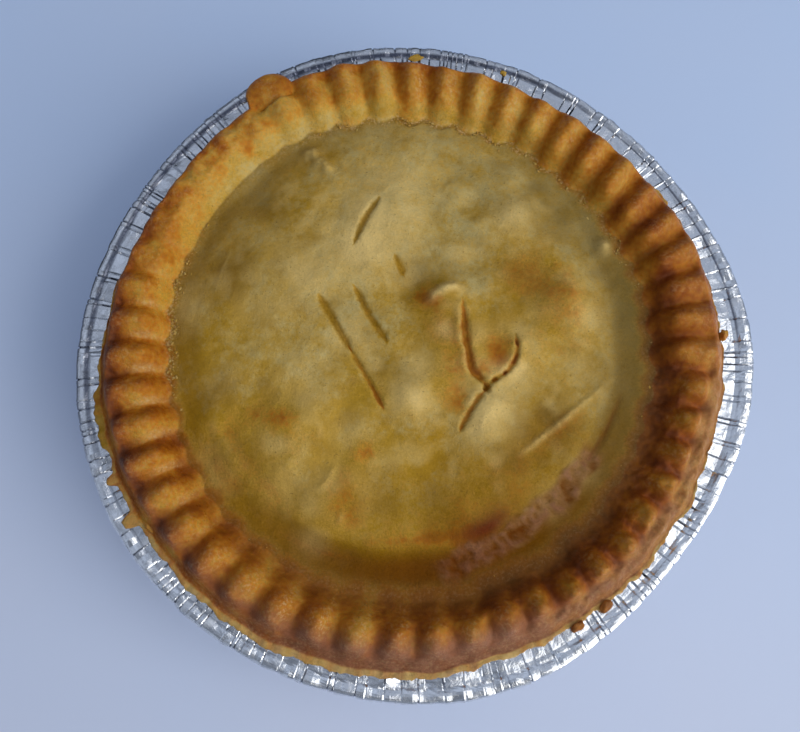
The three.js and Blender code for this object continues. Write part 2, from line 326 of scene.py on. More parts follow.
def pastry_material():
    material, g = new_material("baked_pastry")
    patches = g.remap(g.noise(4, 3), 0.3, 0.7, -0.1, 0.1)
    grains = g.remap(g.noise(0.9, 5, 0.7), 0.3, 0.7, -0.13, 0.13)
    browning = g.math("ADD", g.math("ADD", g.attribute("brown"), patches), grains, clamp=True)
    clouds = g.remap(g.noise(6, 6, 0.62), 0.35, 0.65, -0.45, 0.45)
    streaks = g.remap(g.noise(1.3, 4, 0.75), 0.35, 0.65, -0.3, 0.3)
    ochre = g.math("ADD", g.attribute("ochre"), g.math("ADD", clouds, streaks), clamp=True)
    colour = g.ramp(browning, BAKING_STOPS)
    colour = g.mix(g.math("MULTIPLY", ochre, g.remap(browning, 0.5, 0.2)), colour, OCHRE)
    colour = g.mix(g.attribute("damp"), colour, g.mix(g.attribute("ochre"), DAMP_GREY, DAMP_AMBER))
    # Pale cream for paler dough and for painted highlights.
    colour = g.mix(g.attribute("pale"), colour, PALE_AND_HIGHLIGHT)
    # Duller crust and painted sheen.
    colour = g.mix(g.attribute("dull_and_sheen"), colour, DULL_AND_SHEEN)
    colour = g.mix(g.attribute("toast"), colour, TOAST)
    unevenness = g.remap(g.attribute("brown"), 0.15, 0.4, 0.13, 0.3)
    mottle = g.math("MULTIPLY", unevenness, g.remap(g.noise(0.45, 4, 0.75), 0.27, 0.73, -1, 1))
    shade = g.math("ADD", 1, mottle)
    shades = g.node("CombineColor", {0: shade, 1: shade, 2: shade}).outputs[0]
    colour = g.mix(1, colour, shades, "MULTIPLY")
    specks = g.remap(g.noise(0.42, 1), 0.69, 0.76)
    colour = g.mix(g.math("MULTIPLY", specks, 0.45), colour, SPECK)
    # Pale flecks: real flour, and painted glints on crests and lit flanks.
    flour_and_glint = g.math("MULTIPLY", g.remap(g.noise(0.55, 3, 0.7), 0.5, 0.62), g.attribute("flour_and_glints"))
    colour = g.mix(flour_and_glint, colour, FLOUR_AND_GLINT)
    g.finish("Base Color", colour)
    matt = g.remap(g.noise(1.2, 3), 0.3, 0.7, 0.34, 0.52)
    greasy = g.math("MULTIPLY", g.attribute("grease"), g.remap(g.noise(1, 2), 0.4, 0.6))
    g.finish("Roughness", g.math("SUBTRACT", matt, g.math("MULTIPLY", greasy, 0.26)))
    dry = g.math("SUBTRACT", 0, g.attribute("grease"))
    glossless = g.math("MAXIMUM", g.attribute("damp"), dry)
    g.finish("Specular IOR Level", EVEN_GLOSS)
    g.finish("Specular IOR Level", g.remap(glossless, 0, 0.9, 0.28, 0.03))
    g.finish("Specular Tint", (1, 0.88, 0.68, 1))
    fine = g.bump(g.noise(0.42, 4, 0.8), 0.26, 0.9)
    g.finish("Normal", g.bump(g.noise(1.8, 3), 0.3, 0.5, fine))
    return material


def foil_material():
    material, g = new_material("bright_foil")
    tint = g.remap(g.noise(5, 2), 0.3, 0.7)
    clean = g.mix(tint, FOIL_DULL, FOIL_BRIGHT)
    # Painted shade where the crease attribute says: in folds, at kinks, along the edge and in the gap.
    g.finish("Base Color", g.mix(g.attribute("crease"), clean, FOIL_CREASE_SHADE))
    g.finish("Metallic", 1)
    g.finish("Roughness", g.remap(g.noise(2, 3), 0.3, 0.7, 0.16, 0.32))
    crumple = g.bump(g.noise(1.6, 3, 0.6, 0.4), 0.2, 0.5)
    g.finish("Normal", g.bump(g.noise(0.5, 2), 0.05, 0.4, crumple))
    return material


def floor_material():
    material, g = new_material("pale_floor")
    cloud = g.remap(g.noise(70, 2), 0.3, 0.7, -0.15, 0.15)
    # Painted light: the floor is bluer towards the back, away from the warm lamp.
    where = g.node("SeparateXYZ", {0: g.node("TexCoord").outputs["Object"]}).outputs["Y"]
    towards_back = g.math("ADD", g.remap(where, -90 * MM, 90 * MM), cloud, clamp=True)
    g.finish("Base Color", g.mix(towards_back, FLOOR_FRONT, FLOOR_BACK))
    g.finish("Roughness", 0.6)
    return material


# ---------------- pie: the lid

def path_points(path, count=28):
    """Evenly drawn points of a smooth curve through the given points."""
    points = np.array(path, float)
    if len(points) < 3:
        return lerp(points[0], points[-1], np.linspace(0, 1, count)[:, None])
    knots = np.concatenate([[2 * points[0] - points[1]], points, [2 * points[-1] - points[-2]]])
    drawn = []
    for t in np.linspace(0, len(points) - 1, count):
        i = min(int(t), len(points) - 2)
        u = t - i
        a, b, c, d = knots[i:i + 4]
        drawn.append(0.5 * (2 * b + (c - a) * u + (2 * a - 5 * b + 4 * c - d) * u * u
                            + (3 * b - a - 3 * c + d) * u ** 3))
    return np.array(drawn)


def beside_path(x, y, path):
    """For each place: distance to the path, positive on its left, share along it, nearest x and y."""
    points = path_points(path)
    best = np.full(x.shape, 1e9)
    side, along, near_x, near_y = (np.zeros(x.shape) for _ in range(4))
    for i, (start, end) in enumerate(zip(points, points[1:])):
        step = end - start
        share = np.clip(((x - start[0]) * step[0] + (y - start[1]) * step[1]) / (step @ step), 0, 1)
        foot_x, foot_y = start[0] + share * step[0], start[1] + share * step[1]
        distance = np.hypot(x - foot_x, y - foot_y)
        closer = distance < best
        best = np.where(closer, distance, best)
        left = step[0] * (y - start[1]) - step[1] * (x - start[0])
        side = np.where(closer, np.where(left < 0, -1, 1), side)
        along = np.where(closer, (i + share) / (len(points) - 1), along)
        near_x = np.where(closer, foot_x, near_x)
        near_y = np.where(closer, foot_y, near_y)
    return best * side, along, near_x, near_y


def gather_at_slits(x, y):
    """Draws places close to a slit closer to it, so that its walls get enough points."""
    reach = 2.4
    nearest = np.full(x.shape, reach)
    new_x, new_y = x.copy(), y.copy()
    for path, *_ in SLITS:
        distance, _, near_x, near_y = beside_path(x, y, path)
        distance = np.abs(distance)
        closer = distance < nearest
        keep = lerp(0.35, 1, smoothstep(0, reach, distance))
        new_x = np.where(closer, near_x + (x - near_x) * keep, new_x)
        new_y = np.where(closer, near_y + (y - near_y) * keep, new_y)
        nearest = np.where(closer, distance, nearest)
    return new_x, new_y


def trough_top(azimuth):
    return TROUGH_TOP - 0.9 * near(azimuth, 268, 85)


def dome_radius(azimuth):
    return DOME_RADIUS + 3.2 * near(azimuth, 72, 40)


class Lid:
    """Height and finish of places on the lid and the trough, laid on one after another."""

    def __init__(self, x, y):
        self.x = x
        self.y = y
        self.points = np.stack([x, y, 0 * x], axis=1)
        azimuth = np.degrees(np.arctan2(y - DOME[1], x - DOME[0]))
        from_centre = np.hypot(x - DOME[0], y - DOME[1])
        outside = from_centre - dome_radius(azimuth) - 0.8 * noise_at(self.points, 9, 5)
        self.height = self.dome(azimuth, from_centre, outside)
        self.finish = self.plain_finish(azimuth, from_centre, outside)
        self.add_patches()
        self.add_ridges()
        self.cut_slits()
        self.tear_strip()

    def dome(self, azimuth, from_centre, outside):
        reach = np.clip(from_centre / dome_radius(azimuth), 0, 1)
        soft = lerp(5, 1.6, near(azimuth, 252, 48))
        floor = trough_top(azimuth)
        step = (TROUGH_TOP + DOME_EDGE_STEP - floor) * (1 - smoothstep(-0.6 * soft, soft, outside))
        height = floor + step + (DOME_RISE - DOME_EDGE_STEP) * (1 - reach ** DOME_FULLNESS)
        for lump_x, lump_y, size, rise in LUMPS + DIMPLES:
            height += rise * bump(np.hypot(self.x - lump_x, self.y - lump_y), size)
        return height + noise_sum(self.points, (0.45, 6, 2), (0.14, 2.4, 6), (0.05, 1, 15))

    def plain_finish(self, azimuth, from_centre, outside):
        x, y = self.x, self.y
        trough = 0.3 * smoothstep(-8, -2, outside) + 0.7 * smoothstep(-3, 2, outside)
        drier = np.clip(near(azimuth, 82, 44) + 0.8 * near(azimuth, 205, 40), 0, 1)
        damp_clouds = smoothstep(0, 0.5, noise_at(self.points, 4, 24) + smoothstep(-20, -34, y))
        pale_clouds = smoothstep(0, 0.7, noise_sum(self.points, (1, 5.5, 32), (0.5, 2.2, 33)))
        return {
            "brown": 0.05 + 0.1 * smoothstep(-10, -32, y) + 0.04 * smoothstep(25, 38, from_centre),
            "ochre": np.clip(0.42 - 0.011 * (y + 0.6 * x) + 0.8 * trough * near(azimuth, 272, 48), 0.1, 1),
            "damp": np.maximum(trough * lerp(0.9, 0.4, drier), 0.25 * damp_clouds),
            "toast": 0.5 * smoothstep(-1, 3, outside) * near(azimuth, 278, 38),
            "pale": (1 - trough) * 0.34 * smoothstep(-34, -22, y) * pale_clouds,
            "dull_and_sheen": 0 * x,
            "grease": 0.5 * trough,
            "flour_and_glints": 0 * x,
        }

    def tint(self, column, amount):
        before = self.finish[column]
        if column in ("brown", "ochre"):
            self.finish[column] = np.clip(before + amount, 0, 1)
        else:
            self.finish[column] = np.maximum(before, amount)

    def less_pale(self, amount):
        self.finish["pale"] *= 1 - amount

    def add_patches(self):
        for column, patches in PATCHES.items():
            for patch_x, patch_y, size, amount in patches:
                distance = np.hypot(self.x - patch_x, self.y - patch_y)
                ragged = 0.25 * size * noise_at(self.points, 0.6 * size, 19)
                self.tint(column, amount * bump(distance + ragged, size))
        self.less_pale(smoothstep(0.16, 0.4, self.finish["brown"]))

    def add_ridges(self):
        for path, half, rise, column, amount in RIDGES:
            distance, along, _, _ = beside_path(self.x, self.y, path)
            fade = np.sqrt(np.clip(np.sin(np.pi * np.clip(along, 0.02, 0.98)), 0, 1))
            crumbled = 0.6 if rise > 0.2 else 0
            uneven = np.clip(1 + crumbled * noise_at(self.points, 1.1, 20), 0.2, 1.4)
            ridge = fade * bump(distance, half) * uneven
            self.height += rise * ridge
            self.tint(column, amount * ridge)

    def cut_slits(self):
        for path, width, depth, left_lip, right_lip, dark, wet, lean in SLITS:
            distance, along, _, _ = beside_path(self.x, self.y, path)
            narrowing = np.sqrt(np.clip(6 * np.minimum(along, 1 - along), 0, 1))
            half = np.maximum(width / 2 * narrowing * (1 + 0.3 * noise_at(self.points, 1.6, 25)), 0.1)
            gap = np.abs(distance + 0.2 * noise_at(self.points, 1, 17)) / np.where(distance < 0, lean, 1)
            inside = 1 - smoothstep(0.5 * half, 1.45 * half, gap)
            lip = np.where(distance > 0, left_lip, right_lip) * narrowing
            self.height += lip * bump(gap - 1.7 * half, 0.8) - depth * narrowing * inside
            self.less_pale(0.9 * inside)
            self.tint("brown", dark * inside)
            self.tint("ochre", 0.9 * inside)
            self.tint("damp", wet * inside * narrowing)
            # Painted highlight on the lit lip beside the slit.
            self.tint("pale", 0.9 * lip * bump(gap - 1.35 * half, 0.3))

    def tear_strip(self):
        distance, along, _, _ = beside_path(self.x, self.y, TORN_STRIP)
        torn = smoothstep(3, 1.4, np.abs(distance + 1.3 * noise_at(self.points, 3.2, 18)))
        torn = torn * smoothstep(0, 0.08, along) * smoothstep(1, 0.88, along)
        flakes = noise_sum(self.points, (0.8, 2.1, 8), (0.7, 1, 9), (0.4, 0.55, 10))
        self.height += torn * (0.2 + 0.55 * flakes)
        self.tint("toast", torn * np.clip(0.26 - 0.8 * flakes, 0, 0.7))
        self.tint("dull_and_sheen", torn * np.clip(0.45 + 0.8 * flakes, 0, 0.85))
        self.tint("pale", torn * np.clip(0.8 * flakes - 0.1, 0, 0.5))


def lid_surface(x, y):
    """Height and the finish columns of the lid and the trough."""
    lid = Lid(x, y)
    return (lid.height, *[lid.finish[column] for column in PASTRY_COLUMNS])


# Small swellings and hollows that only show close by: x, y, reach and rise.
DIMPLES = [
    (3.5, 30, 3.5, -0.6), (12, 27, 3, -0.6), (12, 15, 3.5, -0.8), (21, 9, 4.5, -1), (37, 6, 3.5, -0.4),
    (-30, 30, 6, -0.8), (-33, 16, 5, -0.4), (2, -26, 7, -0.5), (15, -1, 2.6, -0.5), (24, -22, 4, -0.5),
    (-12, -27, 3, 0.5), (-24, -25, 3, 0.4), (-14, -33, 2.5, 0.4), (-8, -33, 2, 0.3), (33, -5, 4, 0.5),
    (2.5, 10.5, 9, -1.2), (18.5, 12.5, 5, -0.5), (-5, -5, 4, -0.5), (22, -16, 5, -0.5), (-37, 12, 4, -0.3),
    (-14, -19, 3.5, -0.5), (-28, -12, 5, -0.4), (-24, 12, 7, 0.6), (36.5, 18.6, 1.4, 1.3),
]

# Blotches of the lid by the finish they change: x, y, reach and by how much. Pale blotches are paler dough
# and also painted highlights where the lid faces the lamp.
PATCHES = {
    "brown": [
        (-23.4, -15, 3, 0.34), (-9, -21, 2.6, 0.32), (-20, -19, 3, 0.12), (-12, -24, 2.4, 0.14),
        (1.6, 8.4, 3, 0.3), (26, 8, 6, 0.17), (25, 2, 6, 0.14), (7.6, -12.6, 2.4, 0.4), (3, 7, 3, 0.22),
        (20.5, 14, 4.5, 0.26), (-29, -14, 3.4, 0.2), (15.4, -2.6, 4.2, 0.36), (-18, -18, 2, 0.1),
        (-11, -8, 1.8, 0.2), (2, 0, 3, 0.08), (12, -6.5, 1.4, 0.2), (23, -6, 2.5, 0.18),
        (26, -17, 4, 0.16), (12, -29, 7, 0.1), (20, 12, 5, 0.1), (-6, -11, 2.2, 0.16),
        (-36, -21, 6, 0.12), (-25, -18, 4, 0.1), (-31, -28, 6, 0.06), (-33, 22, 12, 0.07),
        (-26, 36, 6, 0.08), (6, 4, 5, 0.08), (-4, -13, 6, 0.07), (8, -37, 6, 0.24), (20, -22, 5, 0.18),
        (-12, -30, 3.5, 0.28), (5, -9, 4, 0.14),
    ],
    "ochre": [
        (3, 7, 4, 0.6), (6, -1, 7, 0.6), (14.6, -1, 5, 0.5), (24, 8, 9, 0.6), (18, 17, 5, 0.45),
        (-30, 6, 9, 0.4), (-20, 24, 7, 0.45), (12, 25, 4, 0.35), (-6, -11, 4, 0.5), (24, -20, 6, 0.4),
        (14, -31, 7, 0.5), (-24, -13, 9, 0.3), (-10, -24, 6, 0.3), (-19, 37, 3, 0.5), (14, -2, 4, 0.5),
        (5, 9, 4, 0.6), (2, -20, 4, 0.5), (-2, 27, 4, -0.3),
    ],
    "damp": [
        (1, 9, 4.5, 0.3), (20, 12, 7, 0.55), (4, 2, 6, 0.4), (16, -28, 15, 0.55), (26, -17, 10, 0.6),
        (-32, 28, 11, 0.5), (31, 26, 12, 0.6), (7, 15, 5, 0.4), (38, 6, 7, 0.6), (36, -8, 8, 0.65),
        (12, 33, 7, 0.35), (-36, 12, 6, 0.5), (-8, 0, 5, 0.25), (25, 4, 5, 0.3), (24, 28, 6, 0.5),
        (3, -32, 8, 0.4), (22, -22, 5, 0.7), (10, -35, 6, 0.6), (-5, -30, 5, 0.5), (8, -27, 5, 0.5),
        (32, 20, 6, 0.6), (-30, -22, 5, 0.4), (-36, -10, 5, 0.5), (0, 7, 3, 0.5), (18, 13, 4, 0.5),
        (-35, 19, 4, 0.5), (6, -25, 5, 0.5), (17, -24, 5, 0.6), (-10, -30, 5, 0.45), (-6, -6, 3, 0.4),
        (24, -18, 5, 0.7), (6, -36, 6, 0.6), (1, 12, 5, 0.4), (36, 18, 4, 0.9), (12, 18, 3.5, 0.4),
        (24, -15, 5, 0.85), (28, 25, 8, 0.78), (-30, 27, 7, 0.66), (-36, 14, 6, 0.76), (0, 13, 4, 0.6),
        (20, 12, 5, 0.68), (36.5, 14, 4, 0.9), (6, -33, 7, 0.7), (20, -18, 6, 0.8), (4, -29, 6, 0.6),
        (18, -22, 6, 0.75), (13, -37, 5, 0.8), (-37, 16, 4, 0.65), (25, 31, 4, 0.75), (36, 19, 4, 0.75),
        (17, 35, 4, 0.6), (24, 24, 3, 0.6),
    ],
    "pale": [
        (-4, 31, 7, 0.5), (-5, 21, 7, 0.6), (-14, 15, 6, 0.55), (-25, 8, 8, 0.3), (-1.5, -11, 3.8, 0.75),
        (-20, -8, 7, 0.34), (14.4, -13, 3.8, 0.8), (11, -17, 3, 0.7), (32, 4, 3.4, 0.4),
        (31, 11, 2.8, 0.24), (-13, -1, 4, 0.4), (19, -3, 3.5, 0.5), (36.5, 18.6, 1.4, 0.7),
        (-33, -7, 5, 0.2), (-14, -27, 6, 0.36), (-11, -18, 4, 0.4), (-22, -26, 5, 0.3), (30, -5, 3, 0.3),
        (-12, 27, 5, 0.4), (-10, 18, 7, 0.95), (-20, 12, 6, 0.7), (-1, 24, 4, 0.6), (18, -1, 4, 0.5),
        (17, -5, 3, 0.7), (23, 5, 3, 0.3), (-42, 6, 4, 0.4), (-30, 12, 3, 0.4), (18, 24, 4, 0.7),
        (12.6, -14, 4.6, 0.95), (17.6, -6.4, 3.6, 0.9), (30, -24, 3, 0.4), (-24, 15, 5, 0.45),
        (15, -7, 5, 0.5), (-18, -12, 4, 0.35), (12, 0, 3, 0.4), (0.5, -6, 3.5, 0.6), (-28, 6, 6, 0.4),
        (-14, 4, 4, 0.3), (-19, -11, 4, 0.5), (-24, -18, 3.5, 0.7), (-36, -24, 4, 0.4),
        (-12, 0, 3.5, 0.6), (0, 12, 3, 0.35), (-18, -36, 3, 0.35), (24, -30, 3, 0.4), (12, -6, 2.4, 0.5),
        (-8, 24, 5, 0.95), (-24, 6, 3, 0.5), (24, 6, 3, 0.4), (5.6, 1, 2, 0.5), (0, -12, 3, 0.9),
        (-18, -30, 3, 0.4), (19, 0, 3, 0.6),
    ],
    "toast": [
        (-23.4, -15, 1.3, 0.15),
    ],
}

# Ridges and creases of the lid: path, half width, rise, and the finish they change by how much. Pale ridges
# are also painted highlights on their lit sides.
RIDGES = [
    ([(3, 7), (4, 8), (5.8, 8.9), (7.8, 9.1), (9.6, 8.3)], 1, 0.9, "pale", 0.9),
    ([(4.4, 5), (6.2, 0), (7.4, -4), (7, -9)], 3.2, 0, "brown", 0.34),
    ([(8.9, 0.9), (9.6, 0.5)], 0.35, 0.5, "pale", 0.9),
    ([(11.6, -5), (13.5, -6.6), (15.5, -5.2), (16.6, -2)], 1.6, 0.1, "brown", 0.2),
    ([(25, 15), (28.8, 11.5), (30.2, 4), (29.6, -4), (27.5, -10)], 2.2, 0.4, "brown", 0.12),
    ([(26.6, 12.6), (27, 8), (26, 2)], 2.4, 0, "brown", 0.08),
    ([(14.6, 1), (14.6, -3), (15.6, -6)], 1.3, -0.1, "brown", 0.12),
    ([(18.6, -21.6), (23, -18.2), (29, -13.4), (36, -7.6)], 0.6, 0.6, "pale", 0.4),
    ([(21, -20.5), (27, -16), (32, -13)], 1.7, -0.3, "brown", 0.16),
    ([(28, -25), (32, -21), (35.5, -15.5), (38, -10)], 0.5, -0.5, "toast", 0.5),
    ([(-10, -37), (-3, -36.4), (5, -35.8), (11, -34.4)], 1.3, 0.2, "brown", 0.28),
    ([(8, -36), (12.5, -34.2), (17, -30.8)], 2.3, 0.1, "toast", 0.95),
    ([(13, -11.8), (15.5, -12.6), (18, -13)], 0.9, 0.4, "pale", 0.3),
    ([(14, -12.8), (12.4, -15.4), (10.4, -18.6)], 1.9, 0.5, "pale", 0.9),
    ([(10.4, -11), (9, -13.6)], 0.7, 0.2, "pale", 0.6),
    ([(-24, -35), (-17, -38), (-9, -39.8)], 0.5, -0.25, "brown", 0.3),
    ([(-37.6, 8), (-36.6, 13), (-34.8, 18)], 0.35, 0.15, "pale", 0.25),
    ([(5.6, 29.4), (6.8, 30.8), (8.4, 31.2)], 0.4, 0.25, "pale", 0.1),
    ([(8, 35), (5.4, 28), (2.4, 21)], 1.8, -0.2, "damp", 0.4),
    ([(-34, -12), (-33, -18), (-29, -24), (-22, -31)], 1.2, -0.2, "brown", 0.14),
    ([(-17, -28), (-15, -25.5), (-14, -23)], 0.7, 0.3, "pale", 0.2),
    ([(-22.6, -24), (-21.4, -21.5)], 0.7, 0.25, "pale", 0.2),
    ([(-13.4, -34), (-12.4, -31.5)], 0.6, 0.25, "pale", 0.15),
    ([(-20.8, 39), (-18.6, 36.6), (-15.6, 33.4)], 1.1, 1.3, "pale", 0.3),
    ([(-22, 37.6), (-20.4, 38.6), (-18.4, 39)], 0.9, 0.7, "pale", 0.3),
]

# The flaky strip where the lid has torn from the rim.
TORN_STRIP = [(3.4, -43), (9.6, -39.4), (15.6, -36.2), (21.4, -32), (26.4, -27.8), (30.8, -23.2),
              (33.4, -19.4)]


def places_round(count):
    """Places evenly round the pie, counted in crimps: whole numbers are crests."""
    return np.arange(count) * CRIMP_COUNT / count + 0.5


def crimp_azimuth(place):
    even = place * 360 / CRIMP_COUNT
    middle, reach, turn = CRIMP_CROWDING
    return even + CRIMP_LAG + turn * near(even, middle, reach)


def columns(x, y, z, *finish):
    """Rows of a ring, each with x, y, z and the finish."""
    return np.stack([x, y, z, *[np.broadcast_to(f, x.shape) for f in finish]], axis=1)


def lid_ring(share, count):
    azimuth = crimp_azimuth(places_round(count))
    x, y = polar(share * dome_radius(azimuth), azimuth, DOME)
    x, y = gather_at_slits(x, y)
    return columns(x, y, *lid_surface(x, y))


def trough_ring(share, count):
    place = places_round(count)
    azimuth = crimp_azimuth(place)
    edge_x, edge_y = polar(dome_radius(azimuth), azimuth, DOME)
    foot = crimp_section(place, np.zeros(count))
    x, y = lerp(edge_x, foot[:, 0], share), lerp(edge_y, foot[:, 1], share)
    z, *finish = lid_surface(x, y)
    joined = smoothstep(0.55, 1, share)
    blended = [lerp(own, theirs, joined) for own, theirs in zip(finish, foot[:, 3:].T)]
    return columns(x, y, lerp(z, foot[:, 2], joined), *blended)


# ---------------- pie: the crimped rim

KNOB_AZIMUTH = 119.6
KNOB_HALF_ANGLE = 5
KNOB_RADIUS = 57.9
KNOB_MIDDLE_HEIGHT = 31.5
crimp_moods = rng.uniform(-1, 1, (CRIMP_COUNT, 6))


def per_crimp(place, column):
    """A number of each crimp's own, blended across the grooves."""
    crimp = np.round(place)
    off = place - crimp
    own = crimp_moods[crimp.astype(int) % CRIMP_COUNT, column]
    neighbour = crimp_moods[(crimp + np.where(off < 0, -1, 1)).astype(int) % CRIMP_COUNT, column]
    return lerp(own, neighbour, 0.5 * smoothstep(0.3, 0.5, np.abs(off)))


def knuckled_at(azimuth):
    """1 in the stretch that is pressed into knuckles, 0 well away from it."""
    return smoothstep(36, 24, turn_between(azimuth, KNUCKLED_MIDDLE))


def valley_at(place):
    """1 at the bottom of each groove, 0 on the crests."""
    return np.abs(np.sin(np.pi * place)) ** 3


def crimp_level(place, azimuth, across):
    """How far up from groove to crest: the grooves run out at the outer edge and in the smooth stretch."""
    wave = 0.5 + 0.5 * np.cos(2 * np.pi * place)
    rounding = 0.02
    fatness = lerp(0.64, 0.56, smoothstep(0.5, 0.9, across))
    floor = rounding ** fatness
    crimped = ((wave + rounding) ** fatness - floor) / ((1 + rounding) ** fatness - floor)
    knuckled = knuckled_at(azimuth)
    run_out = smoothstep(lerp(0.74, 0.7, knuckled), lerp(0.94, 0.84, knuckled), across)
    flat = 0.84 * near(azimuth, 142, 19) ** 0.6
    return lerp(lerp(crimped, 0.85, run_out), 0.8, flat)


# Where the crust stands out a little further: azimuth, reach in degrees, by how much.
EDGE_SWELLINGS = [(192, 25, 0.3), (146, 30, 0.6), (6, 32, 0.7), (62, 30, 0.3)]


def crust_foot(place, azimuth):
    """Radius of the crimps' inner foot."""
    crimped = 1 - near(azimuth, *SMOOTH_STRETCH)
    drawn_in = 1.1 * valley_at(place) * (1 - 0.8 * near(azimuth, *LOWER_SIDE))
    uneven = 0.5 * per_crimp(place, 0)
    return CRIMP_INNER_RADIUS + sum_of_waves(CRIMP_INNER_WAVES, azimuth) + crimped * (drawn_in + uneven)


def crust_edge(place, azimuth):
    """Radius of the crimps' outer edge."""
    valley = valley_at(place) * (1 - near(azimuth, *SMOOTH_STRETCH))
    edge = CRIMP_OUTER_RADIUS + sum_of_waves(CRIMP_OUTER_WAVES, azimuth) - 0.25 * valley
    edge += 0.35 * per_crimp(place, 1)
    return edge + sum(swelling * near(azimuth, at, reach) for at, reach, swelling in EDGE_SWELLINGS)


def crimp_height(place, azimuth, across, level):
    """Height of the crimped ring, without the knob and the fine unevenness."""
    smooth = near(azimuth, *SMOOTH_STRETCH)
    lower = near(azimuth, *LOWER_SIDE)
    knuckled = knuckled_at(azimuth)
    climb = 0.32 + 0.2 * lower + 0.12 * smooth + 0.06 * per_crimp(place, 4)
    inner_side = smoothstep(0, climb, across) ** lerp(1, 1.3, lower)
    roundness = lerp(0.6, 0.8, lower) + 0.2 * near(azimuth, *LEFT_SIDE)
    outer_side = smoothstep(1, lerp(0.8, 0.62, lower), across) ** roundness
    crest = inner_side * outer_side * (1 - 0.5 * (across - 0.58) ** 2)
    knuckle = smoothstep(0, 0.6, across) ** 1.7 * (1 - 0.66 * smoothstep(0.62, 0.76, across))
    crest = lerp(crest, knuckle * smoothstep(1, 0.87, across), knuckled)
    groove = lerp(GROOVE_SHARE, 0.38, knuckled) * np.sin(np.pi * across ** 0.9) ** 0.8
    groove = np.minimum(groove, 0.9 * crest)
    height_of_crimp = CRIMP_HEIGHT * (1 + 0.07 * per_crimp(place, 2)) - 0.2
    foot = lerp(trough_top(azimuth), SKIRT_TOP, smoothstep(0, 0.5, across))
    return foot + height_of_crimp * lerp(groove, crest, level)


def with_knob(radius, height, azimuth, across):
    """Rolls the crust's outer edge into the knob of spare dough."""
    knob = np.clip(1 - (turn_between(azimuth, KNOB_AZIMUTH) / KNOB_HALF_ANGLE) ** 2, 0, 1) ** 0.6
    towards_knob = smoothstep(0, 0.5, knob) * smoothstep(0.6, 0.75, across)
    turn = np.radians(205 - 312 * np.clip((across - 0.68) / 0.32, 0, 1))
    knob_radius = KNOB_RADIUS + 4.1 * knob * np.cos(turn)
    knob_height = KNOB_MIDDLE_HEIGHT + 1.3 * np.sin(turn) * lerp(0.6, 1, knob)
    return lerp(radius, knob_radius, towards_knob), lerp(height, knob_height, towards_knob)


def crust_unevenness(points, azimuth, across):
    on_top = smoothstep(0.02, 0.15, across) * smoothstep(1, 0.9, across)
    lower = 0.15 * near(azimuth, *LOWER_SIDE) * noise_at(points, 2.6, 12)
    smooth = near(azimuth, *SMOOTH_STRETCH) * noise_sum(points, (0.5, 3.4, 26), (0.22, 1.4, 27))
    knuckled = knuckled_at(azimuth) * noise_sum(points, (0.6, 2.2, 14), (0.35, 1, 16))
    return on_top * (noise_sum(points, (0.3, 2.6, 12), (0.14, 1, 13)) + lower + smooth + knuckled)


def crimp_section(place, across):
    """Points of the crimped ring: 0 across is its inner foot and 1 its outer edge."""
    azimuth = crimp_azimuth(place)
    level = crimp_level(place, azimuth, across)
    radius = lerp(crust_foot(place, azimuth), crust_edge(place, azimuth), across)
    radius, height = with_knob(radius, crimp_height(place, azimuth, across, level), azimuth, across)
    slant = 2.4 * near(azimuth, 30, 16) * smoothstep(0.9, 0, across)
    x, y = polar(radius, azimuth - slant)
    points = np.stack([x, y, height], axis=1)
    height += crust_unevenness(points, azimuth, across)
    return columns(x, y, height, *crust_finish(points, place, azimuth, across, level))


